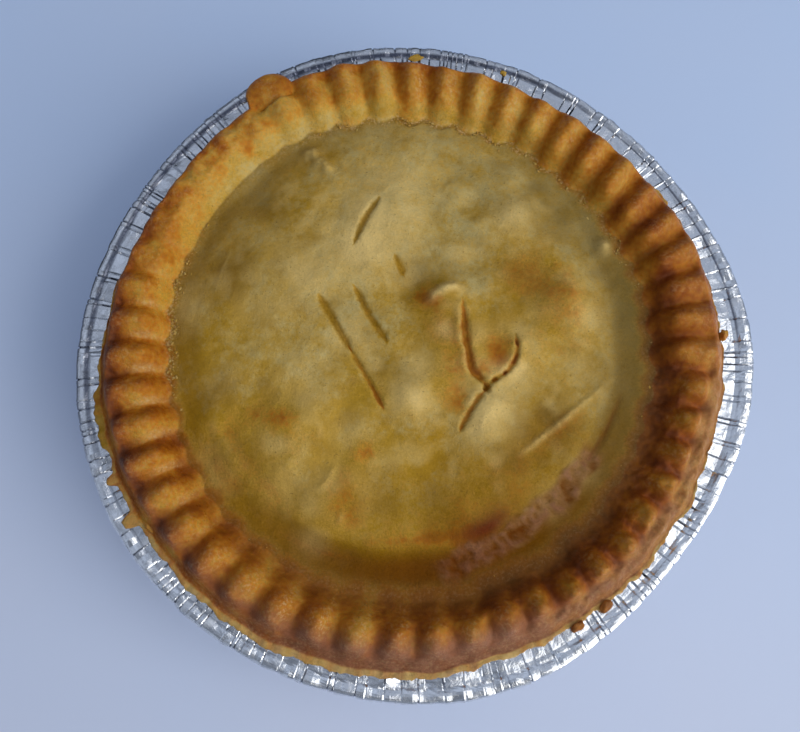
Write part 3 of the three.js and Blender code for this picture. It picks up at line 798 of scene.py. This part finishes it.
def crust_finish(points, place, azimuth, across, level):
    """The finish columns of the crimped ring, in the order of PASTRY_COLUMNS."""
    lower = near(azimuth, *LOWER_SIDE)
    knuckled = knuckled_at(azimuth)
    knuckled_top = knuckled * smoothstep(0.66, 0.8, across)
    outer_side = smoothstep(0.7, 0.84, across) * near(azimuth, 208, 58)
    beside_crest = place - np.round(place)

    brown = crust_browning(points, place, azimuth, across, level)
    ochre = 0.8 * near(azimuth, 210, 50) + 0.4 * near(azimuth, 85, 40) * smoothstep(0.3, 0.1, across)
    ochre = np.clip(ochre, 0.6 * smoothstep(0.45, 0.2, across) * near(azimuth, 272, 48), 1)
    damp = np.maximum(smoothstep(0.05, 0, across), lower * smoothstep(0.34, 0.02, across)) * 0.6

    red_foot = smoothstep(0.02, 0.15, across) * smoothstep(0.66, 0.3, across) * near(azimuth, 12, 42)
    valley = valley_at(place) * (1 - near(azimuth, *SMOOTH_STRETCH))
    toast = np.maximum(0.42 * valley * red_foot, 0.22 * lower * smoothstep(0.4, 0.05, across))

    # Painted sheen on the lower crust, its outer part and the knuckles' outer ledge, mixed with duller
    # crust.
    dull_and_sheen = near(azimuth, 284, 62) * (0.05 + 0.75 * smoothstep(0.4, 0.75, across)) * (1 - 0.6 * knuckled)
    dull_and_sheen = np.maximum(dull_and_sheen + 0.4 * knuckled_top, 0.25 * outer_side)
    dull_and_sheen = dull_and_sheen * np.clip(1 + 0.5 * noise_at(points, 1.8, 34), 0, 1.3)
    grease = (0.3 + 0.7 * near(azimuth, *LEFT_END)) * smoothstep(0.95, 0.8, across)
    grease = grease - outer_side - 0.5 * dull_and_sheen

    floury_foot = 0.1 + 0.6 * near(azimuth, 80, 40) + 0.5 * near(azimuth, 176, 12)
    floury_foot = floury_foot * smoothstep(0.1, 0, across)
    # Painted glints: pale flecks on the crests and on the flanks that face the lamp at the left, top and
    # bottom; only the flour at the feet is real.
    painted_crest_glints = 0.22 * smoothstep(0.2, 0.4, across) * smoothstep(0.3, 1, level)
    at_left = near(azimuth, *LEFT_END) * bump(beside_crest - 0.4, 0.11) * bump(across - 0.28, 0.2)
    at_top = near(azimuth, 78, 38) * bump(beside_crest + 0.22, 0.2) * bump(across - 0.5, 0.3)
    at_bottom = near(azimuth, 250, 26) * bump(beside_crest - 0.2, 0.18) * bump(across - 0.45, 0.25)
    painted_flank_glints = 0.7 * at_left + 0.6 * at_top + 0.6 * at_bottom
    flour_and_glints = np.maximum(np.maximum(floury_foot, painted_crest_glints), painted_flank_glints)
    # The pale at the left is a painted highlight on the lit flanks.
    pale = np.maximum(0.3 * at_left, 0.14 * knuckled_top)
    return brown, ochre, damp, toast, pale, dull_and_sheen, grease, flour_and_glints


# Darker smudges on the crust: x, y, reach, amount.
CRUST_SPOTS = [
    (-37.6, 38.4, 1.5, 0.3), (-36.6, 36.6, 1.2, 0.2), (-44.6, 27.2, 1.3, 0.3), (-43, 28.4, 1.1, 0.25),
    (-46, 25.6, 1.2, 0.2), (-32, 37.6, 1.2, 0.3), (-38.4, 34.4, 1.2, 0.2), (-40.6, 36.4, 1, 0.25),
    (-35.4, 45, 1.3, 0.2), (-49, 20, 1.4, 0.2), (-29, 43, 1.1, 0.2), (-31.6, 41, 1.6, 0.15),
    (47, 12.6, 1.8, 0.3), (46.5, 7, 1.6, 0.2), (44, 22, 2, 0.2), (-33, 54, 1.2, 0.2),
    (-26.4, 55.6, 1.1, 0.2),
]

# How much browner the crust is round the pie: azimuth, reach in degrees, amount.
CRUST_BROWNING = [
    (140, 26, -0.16), (96, 26, -0.08), (58, 22, -0.05), (2, 42, 0.08), (285, 55, 0.05), (192, 30, 0.04),
]

# The same for a part of the crust across: azimuth, reach in degrees, amount, where it sets in and is full.
PARTLY_BROWNED = [
    (196, 60, 0.3, 0.6, 0.95), (96, 40, 0.2, 0.6, 0.95), (142, 26, 0.12, 0.6, 0.95),
    (264, 50, 0.2, 0.6, 0.95), (272, 32, 0.18, 0.6, 0.95), (190, 34, 0.2, 0.42, 0.8),
    (200, 45, 0.08, 0.35, 0.15), (204, 50, -0.48, 0.76, 0.9),
]


def crust_browning(points, place, azimuth, across, level):
    """How brown the crust is, from the pale stretch at upper left to the darkest at right and bottom, with
    painted shade on the flanks that face away from the lamp, in the grooves and on the lower right's inner
    slope, and painted light on the knuckle tops.
    """
    brown = 0.50 + 0.06 * per_crimp(place, 3) + 0.05 * smoothstep(0.6, 0.95, across)
    for at, reach, amount in CRUST_BROWNING:
        brown += amount * near(azimuth, at, reach)
    for at, reach, amount, start, full in PARTLY_BROWNED:
        brown += amount * near(azimuth, at, reach) * smoothstep(start, full, across)
    yellow_side = np.clip(near(azimuth, 112, 50) + 0.3 * near(azimuth, 180, 14), 0, 1)
    brown = brown - 0.22 * yellow_side * smoothstep(0.32, 0.1, across)

    # Painted shade: the flank that faces away from the lamp is browner, the lit flank paler, and the
    # grooves a little browner.
    away_from_lamp = 0.84 * np.sin(np.radians(azimuth)) + 0.54 * np.cos(np.radians(azimuth))
    painted_flank_shade = (0.08 + 0.04 * near(azimuth, 192, 30)) * np.sin(2 * np.pi * place) * away_from_lamp
    brown += (painted_flank_shade + 0.02 * valley_at(place)) * (1 - 0.8 * near(azimuth, 140, 26))

    knuckled = knuckled_at(azimuth)
    # Painted shade: browner on the inner slope at the lower right, which faces away from the lamp.
    shaded_inner_foot = smoothstep(0.5, 0.15, across) * smoothstep(62, 25, turn_between(azimuth, KNUCKLED_MIDDLE))
    brown += 0.25 * shaded_inner_foot - 0.12 * knuckled * smoothstep(0.66, 0.8, across)
    # Painted light and shade on the knuckles: paler on their tops, browner down between them.
    brown += knuckled * smoothstep(0.2, 0.45, across) * lerp(0.2, -0.09, level)
    for spot_x, spot_y, size, amount in CRUST_SPOTS:
        brown += amount * bump(np.hypot(points[:, 0] - spot_x, points[:, 1] - spot_y), size)
    return brown


def crimp_ring(across, count):
    return crimp_section(places_round(count), np.full(count, across))


# Tabs and torn tips of the skirt: azimuth, half width in degrees at the foot and at the top, length.
SKIRT_TABS = [
    (FRINGE_AZIMUTH, 6.5, 4.5, 1), (32, 3.6, 2.2, 0.6), (213.4, 1.5, 0.7, 2.2), (205.6, 1.3, 0.5, 1.5),
]


def skirt_reach(azimuth):
    """How far the flat skirt stands out past the crimps."""
    reach = 0.3 + 1.35 * near(azimuth, 258, 62)
    for at, foot, top, length in SKIRT_TABS:
        reach += length * smoothstep(foot, top, turn_between(azimuth, at))
    return reach


def skirt_ring(outward, height, count):
    place = places_round(count)
    azimuth = crimp_azimuth(place)
    outer = crust_edge(place, azimuth)
    reach = skirt_reach(azimuth)
    x, y = polar(outer + reach, azimuth)
    points = np.stack([x, y, 0 * x], axis=1)
    ragged = noise_sum(points, (0.45, 1.9, 3), (0.3, 0.7, 4))
    lumpy = np.clip(2 - 2 * outward, 0, 1) * noise_sum(points, (0.4, 1.7, 29), (0.25, 0.8, 30))
    x, y = polar(outer + np.maximum(reach - 0.2 + ragged, 0.1) * outward, azimuth)
    fringe = smoothstep(7, 4.5, turn_between(azimuth, FRINGE_AZIMUTH))
    underneath = near(azimuth, 272, 55)
    brown = 0.33 + 0.4 * noise_at(points, 1.3, 31)
    pale = underneath * np.clip(0.5 + 0.6 * noise_at(points, 1, 35), 0, 0.85)
    dull_and_sheen = (0.3 + underneath * np.clip(0.1 + 0.5 * noise_at(points, 1.6, 36), 0, 0.6)) * (1 - fringe)
    ochre = lerp(0.1, 0.9, fringe)
    return columns(x, y, height + lumpy, brown, ochre, 0.45 * fringe, 0, pale, dull_and_sheen, 0.3, 0)


PLAIN_CRUST = (0.35, 0, 0, 0, 0, 0, 0, 0)


def body_ring(radius, height, count):
    x, y = polar(radius, crimp_azimuth(places_round(count)))
    return columns(x, y, height + 0 * x, *PLAIN_CRUST)


POINT_SPACING = 0.42
POINTS_PER_CRIMP = 18

# The skirt's edge: share of its reach and drop below its top.
SKIRT_EDGE = [(0.3, 0), (0.6, 0), (0.88, 0.05), (1, 0.22), (1, 0.45), (0.9, 0.62)]


def crimp_shares():
    """Places across the crimped ring, closer together towards its foot and its outer edge."""
    half = 0.5 * np.linspace(0, 1, 24) ** 1.8
    return np.concatenate([half, 1 - half[-2::-1]])


def make_pie(material):
    rim_count = CRIMP_COUNT * POINTS_PER_CRIMP
    lid_count = int(DOME_RADIUS / POINT_SPACING)
    centre = np.array([DOME[0]]), np.array([DOME[1]])
    rings = [columns(*centre, *lid_surface(*centre))]
    rings += [lid_ring(i / lid_count, max(12, int(2 * math.pi * i))) for i in range(1, lid_count + 1)]
    rings += [trough_ring(share, 720) for share in np.linspace(0, 1, 14)[1:-1]]
    rings += [crimp_ring(share, rim_count) for share in crimp_shares()]
    rings += [skirt_ring(outward, SKIRT_TOP - drop, rim_count) for outward, drop in SKIRT_EDGE]
    bottom = FOIL + FIT_GAP
    rings += [
        body_ring(MOUTH_RADIUS + 0.9, FLANGE_TOP + FIT_GAP, 240),
        body_ring(MOUTH_RADIUS - FOIL - 2 * FIT_GAP, FLANGE_TOP - 1.4, 240),
        body_ring(BASE_RADIUS - 0.4, bottom + FIT_GAP + 0.6, 120),
        body_ring(BASE_RADIUS - 1.4, bottom, 120),
        columns(np.zeros(1), np.zeros(1), np.full(1, bottom), *PLAIN_CRUST),
    ]
    show("pie_skin", ring_mesh("pie_skin", rings, PASTRY_COLUMNS), material, ["pie"])


# ---------------- foil tin

# The rolled edge across: outwards and upwards from the flange's outer end, and the angle it faces.
ROLL = [
    (0.3, 0.12, 105), (0.7, 0.26, 107), (1.1, 0.35, 100), (1.5, 0.38, 92), (1.8, 0.34, 76), (2.07, 0.2, 56),
    (2.28, -0.06, 34), (2.4, -0.5, 6), (2.36, -1, -20), (2.1, -1.5, -50), (1.5, -1.8, -90),
    (0.8, -1.6, -120), (0.3, -1.1, -150),
]


class Pleats:
    """The folds of the foil round the tin: fold lines at uneven spacing, with flat facets between them."""

    def __init__(self):
        rows = []
        azimuth = 0
        while azimuth < 359.2:
            width = rng.uniform(0.6, 1.6) if rng.random() < 0.5 else rng.uniform(1.6, 4.2)
            width = min(width, 360 - azimuth)
            lean = rng.normal(0, 0.5)
            fold = rng.uniform(0.2, 0.6) * (-1 if rng.random() < 0.75 else 0.6)
            tilt = rng.normal(0, 0.075)
            slope = rng.normal(0, 0.24)
            shade = rng.uniform(0.1, 0.9) if rng.random() < 0.6 else 0
            kink = rng.uniform(0.3, 1) if rng.random() < 0.5 else 0
            crease = min(rng.uniform(0.15, 0.3), 0.25 * width)
            stations = ((0, 1), (crease, 0), (0.35 * width, 0), (0.65 * width, 0), (width - crease, 0))
            for offset, folded in stations:
                on_facet = 1 - folded
                rows.append((azimuth + offset, lean * (1 - offset / width), fold * folded, kink * folded,
                             shade * folded, tilt * (offset - width / 2) * on_facet, slope * on_facet))
            azimuth += width
        self.azimuth, self.lean, self.fold, self.kink, self.shade, self.tilt, self.slope = np.array(rows).T


class FoilShape:
    """Rings of points round the tin, with its pleats and dents, and painted shade in its creases."""

    def __init__(self, pleats):
        azimuth = pleats.azimuth
        x, y = polar(RIM_RADIUS, azimuth)
        pressed = near(azimuth, 186, 42) + 0.8 * near(azimuth, 318, 26)
        pressed += 0.5 * noise_at(np.stack([x, y, 0 * x], axis=1), 9, 23)
        self.pleats = pleats
        self.bend = sum_of_waves(RIM_WAVES, azimuth)
        self.roll_flatness = lerp(1, 0.75, np.clip(pressed, 0, 1))
        self.dipped = near(azimuth, 342, 48)
        # Painted shade: how dark the gap inside the rolled edge is, a dimmer stretch at the upper left,
        # stronger fold lines there and a dark line along the outer edge.
        self.gap_shade = 0.5 + 0.5 * near(azimuth, 20, 20) - 0.4 * near(azimuth, 320, 40)
        self.painted_dimming = 0.23 * near(azimuth, 120, 66)
        self.streaky = 1 + 0.7 * near(azimuth, 110, 60)
        self.shaded_edge = 0.8 * smoothstep(85, 60, turn_between(azimuth, 128))

    def ring(self, radius, height, normal, pleating, rolled=0, gap=0, edge_line=0):
        pleats = self.pleats
        share = np.clip((radius - MOUTH_RADIUS) / (RIM_RADIUS - MOUTH_RADIUS), 0, 1)
        push = pleating * (pleats.fold + pleats.tilt + pleats.slope * (share - 0.4))
        push = push - rolled * 0.3 * pleats.kink * smoothstep(-0.2, 0.1, normal[0])
        if rolled:
            height = BEAD_CENTRE_HEIGHT + self.roll_flatness * (height - BEAD_CENTRE_HEIGHT)
        else:
            on_flange = smoothstep(0.1, 0.5, share) * smoothstep(1, 0.6, share)
            height = height - 0.4 * self.dipped * pleating * on_flange
        azimuth = pleats.azimuth + pleats.lean * (share - 0.5) * pleating
        bent = radius + share * self.bend
        x, y = polar(bent + push * normal[0], azimuth)
        points = np.stack([x, y, height], axis=1)
        push += pleating * 0.08 * noise_at(points, 1.3, 21) + rolled * 0.2 * noise_at(points, 1.8, 22)
        x, y = polar(bent + push * normal[0] - 0.15 * share, azimuth)
        shadow = smoothstep(-0.4, 0.2, noise_at(points, 5, 28)) * self.gap_shade
        shadow += smoothstep(0.4, 0.9, self.gap_shade)
        # Painted shade in the fold lines, at the kinks of the rolled edge, along its outer edge and in the
        # gap inside it.
        crease = self.painted_dimming + pleating * pleats.shade * self.streaky + 0.8 * rolled * pleats.kink
        crease = np.clip(crease + edge_line * self.shaded_edge + gap * shadow, 0, 1)
        return columns(x, y, height + push * normal[1], crease)


def foil_stations():
    """Places across the foil, from the inside over the rolled edge to the underside: radius, height, which
    way a fold pushes the foil (outwards and upwards), how much it is pleated and, where they aren't 0, how
    much it belongs to the rolled edge, the painted shadow in the gap inside that edge and the painted dark
    line along it."""
    upwards = (0, 1)
    roll_inner = RIM_RADIUS - 2 * BEAD_RADIUS
    flange_end = roll_inner - 0.8
    yield BASE_RADIUS - 0.2, FOIL, upwards, 0
    yield BASE_RADIUS + 0.8, 1.4, upwards, 0
    yield MOUTH_RADIUS - FOIL, FLANGE_TOP - 1.6, upwards, 0
    for radius in np.linspace(MOUTH_RADIUS + 0.9, flange_end, 13):
        yield radius, FLANGE_TOP + 0.5 * smoothstep(MOUTH_RADIUS, flange_end, radius), upwards, 1
    yield roll_inner - 0.35, FLANGE_TOP + 0.52, upwards, 0.6
    yield roll_inner - 0.1, FLANGE_TOP + 0.53, upwards, 0.4, 0, 0.8
    for out, up, facing in ROLL:
        normal = (math.cos(math.radians(facing)), math.sin(math.radians(facing)))
        edge_line = abs(facing) < 57 or facing > 103
        yield roll_inner + out, FLANGE_TOP + 0.5 + up, normal, 0.12, 1, 0, edge_line
    for radius in np.linspace(roll_inner - 0.1, MOUTH_RADIUS + 0.7, 4):
        yield radius, FLANGE_TOP - FOIL, upwards, 1
    for share in np.linspace(1, 0, 12):
        radius = lerp(BASE_RADIUS + 1.3, MOUTH_RADIUS, share)
        yield radius, lerp(1, FLANGE_TOP - 1.6, share), (-0.9, 0.4), 0.15 + 0.85 * share
    yield BASE_RADIUS, 0, upwards, 0
    yield BASE_RADIUS - 10, 0, upwards, 0


def make_tin(material):
    foil = FoilShape(Pleats())
    rings = [np.array([[0, 0, FOIL, 0]])]
    rings += [foil.ring(*station) for station in foil_stations()]
    rings.append(np.array([[0, 0, 0, 0]]))
    mesh = ring_mesh("foil_skin", rings, ["crease"])
    mesh.shade_flat()
    show("foil_skin", mesh, material, ["foil_tin"])


# ---------------- scraps and crumbs

# Scraps of dough: x, y, height of the middle, half length, half width, half height, turn, browning, ochre.
SCRAPS = [
    (57.6, 0.9, 29.2, 1, 0.8, 0.9, 70, 0.5, 0.5),
    (0.8, 60.6, 28.5, 1.5, 0.8, 0.35, 0, 0.2, 1),
    (18.6, 57, 28.5, 0.7, 0.6, 0.35, 0, 0.15, 1),
    (-46.4, -33.6, 29.2, 1.4, 0.9, 0.5, 140, 0.5, 0.4),
    (27.6, -50.6, 29.2, 1.2, 0.7, 0.5, 30, 0.75, 0.3),
    (32.6, -47.2, 29.2, 1.3, 0.8, 0.5, 45, 0.7, 0.3),
]


class Heap:
    """Collects small closed lumps into one mesh."""

    def __init__(self, steps_up, steps_round):
        self.steps_up = steps_up
        self.steps_round = steps_round
        self.rows = []
        self.faces = []

    def add(self, centre, half_sizes, turn, roughness, seed, finish):
        start = sum(len(rows) for rows in self.rows)
        shares = np.arange(self.steps_round) / self.steps_round
        rings = [np.zeros((1, 2))]
        for i in range(1, self.steps_up):
            rings.append(np.stack([0 * shares + i / self.steps_up, shares], axis=1))
        rings.append(np.array([[1, 0]]))
        for first, second in zip(rings, rings[1:]):
            self.faces += stitch(start, len(first), start + len(first), len(second))
            start += len(first)
        down, around = np.concatenate(rings).T * np.array([[180], [360]])
        x, y = polar(np.sin(np.radians(down)), around)
        unit = np.stack([x, y, np.cos(np.radians(down))], axis=1)
        uneven = noise_at(unit * 1.4, 1, seed) + 0.5 * noise_at(unit * 3, 1, seed)
        unit = unit * (1 + roughness * uneven)[:, None]
        long, wide, high = unit.T * np.array(half_sizes)[:, None]
        x, y = polar(np.hypot(long, wide), np.degrees(np.arctan2(wide, long)) + turn, centre)
        self.rows.append(columns(x, y, centre[2] + high, *finish))

    def show_as(self, name, material):
        mesh = mesh_from(name, np.concatenate(self.rows), self.faces, PASTRY_COLUMNS)
        show(name, mesh, material)


def make_scraps(material):
    heap = Heap(12, 18)
    for seed, (x, y, height, long, wide, high, turn, brown, ochre) in enumerate(SCRAPS, 31):
        finish = (brown, ochre, 0, 0, 0.1, 0, 0.3, 0.1)
        heap.add((x, y, height), (long, wide, high), turn, 0.45, seed, finish)
    heap.show_as("dough_scraps", material)


CRUMB_COUNT = 420
CRUMBS_AT_TOP = 0.4
CRUMBS_AT_LEFT = 0.52


def make_crumbs(material):
    """Fine pale crumbs along the feet of the crimps, most at the top and at the left."""
    at_top = rng.normal(80, 34, CRUMB_COUNT)
    at_left = rng.normal(176, 9, CRUMB_COUNT)
    anywhere = rng.uniform(0, 360, CRUMB_COUNT)
    which = rng.random(CRUMB_COUNT)
    azimuth = np.where(which < CRUMBS_AT_TOP, at_top,
                       np.where(which < CRUMBS_AT_TOP + CRUMBS_AT_LEFT, at_left, anywhere))
    foot = crimp_section((azimuth - CRIMP_LAG) * CRIMP_COUNT / 360, np.zeros(CRUMB_COUNT))
    inward = 1 + (0.3 - np.abs(rng.normal(0, 0.8, CRUMB_COUNT))) / np.hypot(foot[:, 0], foot[:, 1])
    x, y = foot[:, 0] * inward, foot[:, 1] * inward
    size = 0.07 + 0.2 * rng.random(CRUMB_COUNT) ** 3
    z = lerp(lid_surface(x, y)[0], foot[:, 2], 0.3) + 0.3 * size
    heap = Heap(4, 6)
    for i in range(CRUMB_COUNT):
        finish = (rng.uniform(0.05, 0.3), rng.uniform(0, 0.8), 0.3, 0, rng.uniform(0, 0.2), 0, 0.2, 0.3)
        sizes = (1.7 * size[i], size[i], 0.5 * size[i])
        heap.add((x[i], y[i], z[i]), sizes, rng.uniform(0, 180), 0.5, rng.uniform(40, 60), finish)
    heap.show_as("crumbs", material)


# ---------------- stage

# The photo's view: what the camera aims at, how far off it is and how steeply it looks down.
CAMERA_AIM = (-2.6, -4.7, 28.2)
CAMERA_DISTANCE = 139.3
CAMERA_ELEVATION = 76.2

# Lights and floor are in metres and watts. Each light: name, azimuth, elevation, distance, size, power.
LIGHTS = [("window", -30, 32, 1.1, 0.9, 8.2), ("sky", -15, 62, 1, 0.7, 1.8)]
LIGHT_COLOUR = (1, 0.985, 0.95)
LIT_HEIGHT = 0.028
FLOOR_HALF_SIZE = 1.5

ROOM_LOW = (0.14, 0.17, 0.225)
ROOM_HIGH = (0.40, 0.46, 0.58)

# Dim parts of the room: direction, how squarely one faces it where the dimness starts and is full, and the
# share of light that is left.
ROOM_DIMS = [((0, -0.5, 0.866), 0.74, 0.94, 0.35), ((-0.49, 0.853, -0.17), 0.3, 0.8, 0.2)]


def make_camera():
    data = bpy.data.cameras.new("camera")
    data.sensor_width = 36
    data.lens = 33.75
    data.clip_start = 0.01
    camera = bpy.data.objects.new("camera", data)
    bpy.context.scene.collection.objects.link(camera)
    bpy.context.scene.camera = camera
    elevation = math.radians(CAMERA_ELEVATION)
    away = Vector((0, -math.cos(elevation), math.sin(elevation)))
    camera.location = (Vector(CAMERA_AIM) + CAMERA_DISTANCE * away) * MM
    camera.rotation_euler = (math.pi / 2 - elevation, 0, 0)


def make_light(name, azimuth, elevation, distance, size, power):
    data = bpy.data.lights.new(name, "AREA")
    data.size = size
    data.energy = power
    data.color = LIGHT_COLOUR
    light = bpy.data.objects.new(name, data)
    bpy.context.scene.collection.objects.link(light)
    a, e = math.radians(azimuth), math.radians(elevation)
    light.location = distance * Vector((math.cos(e) * math.cos(a), math.cos(e) * math.sin(a), math.sin(e)))
    towards_pie = Vector((0, 0, LIT_HEIGHT)) - light.location
    light.rotation_euler = towards_pie.to_track_quat("-Z", "Y").to_euler()


def make_room():
    """A plain room, pale above and dimmer towards the horizon."""
    world = bpy.data.worlds.new("room")
    bpy.context.scene.world = world
    world.use_nodes = True
    g = Graph(world.node_tree, "Background")
    direction = g.node("TexCoord").outputs["Generated"]
    upwards = g.node("SeparateXYZ", {0: direction}).outputs["Z"]
    g.finish("Color", g.ramp(upwards, [(0, ROOM_LOW), (0.8, ROOM_HIGH)]))
    cloud = g.node("TexNoise", {"Vector": direction, "Scale": 2.6, "Detail": 1}).outputs["Fac"]
    strength = g.remap(cloud, 0.35, 0.65, 0.55, 1.45)
    for dim_direction, start, full, left in ROOM_DIMS:
        squarely = g.node("VectorMath", {0: direction, 1: dim_direction}, operation="DOT_PRODUCT")
        strength = g.math("MULTIPLY", g.remap(squarely.outputs["Value"], start, full, 1, left), strength)
    g.finish("Strength", strength)


def make_floor():
    half = FLOOR_HALF_SIZE
    corners = [(-half, -half, 0), (half, -half, 0), (half, half, 0), (-half, half, 0)]
    mesh = bpy.data.meshes.new("floor")
    mesh.from_pydata(corners, [], [(0, 1, 2, 3)])
    mesh.materials.append(floor_material())
    floor = bpy.data.objects.new("floor", mesh)
    bpy.context.scene.collection.objects.link(floor)


make_camera()
pastry = pastry_material()
make_pie(pastry)
make_scraps(pastry)
make_crumbs(pastry)
make_tin(foil_material())
make_floor()
for light in LIGHTS:
    make_light(*light)
make_room()
bpy.context.scene.view_settings.view_transform = "Standard"
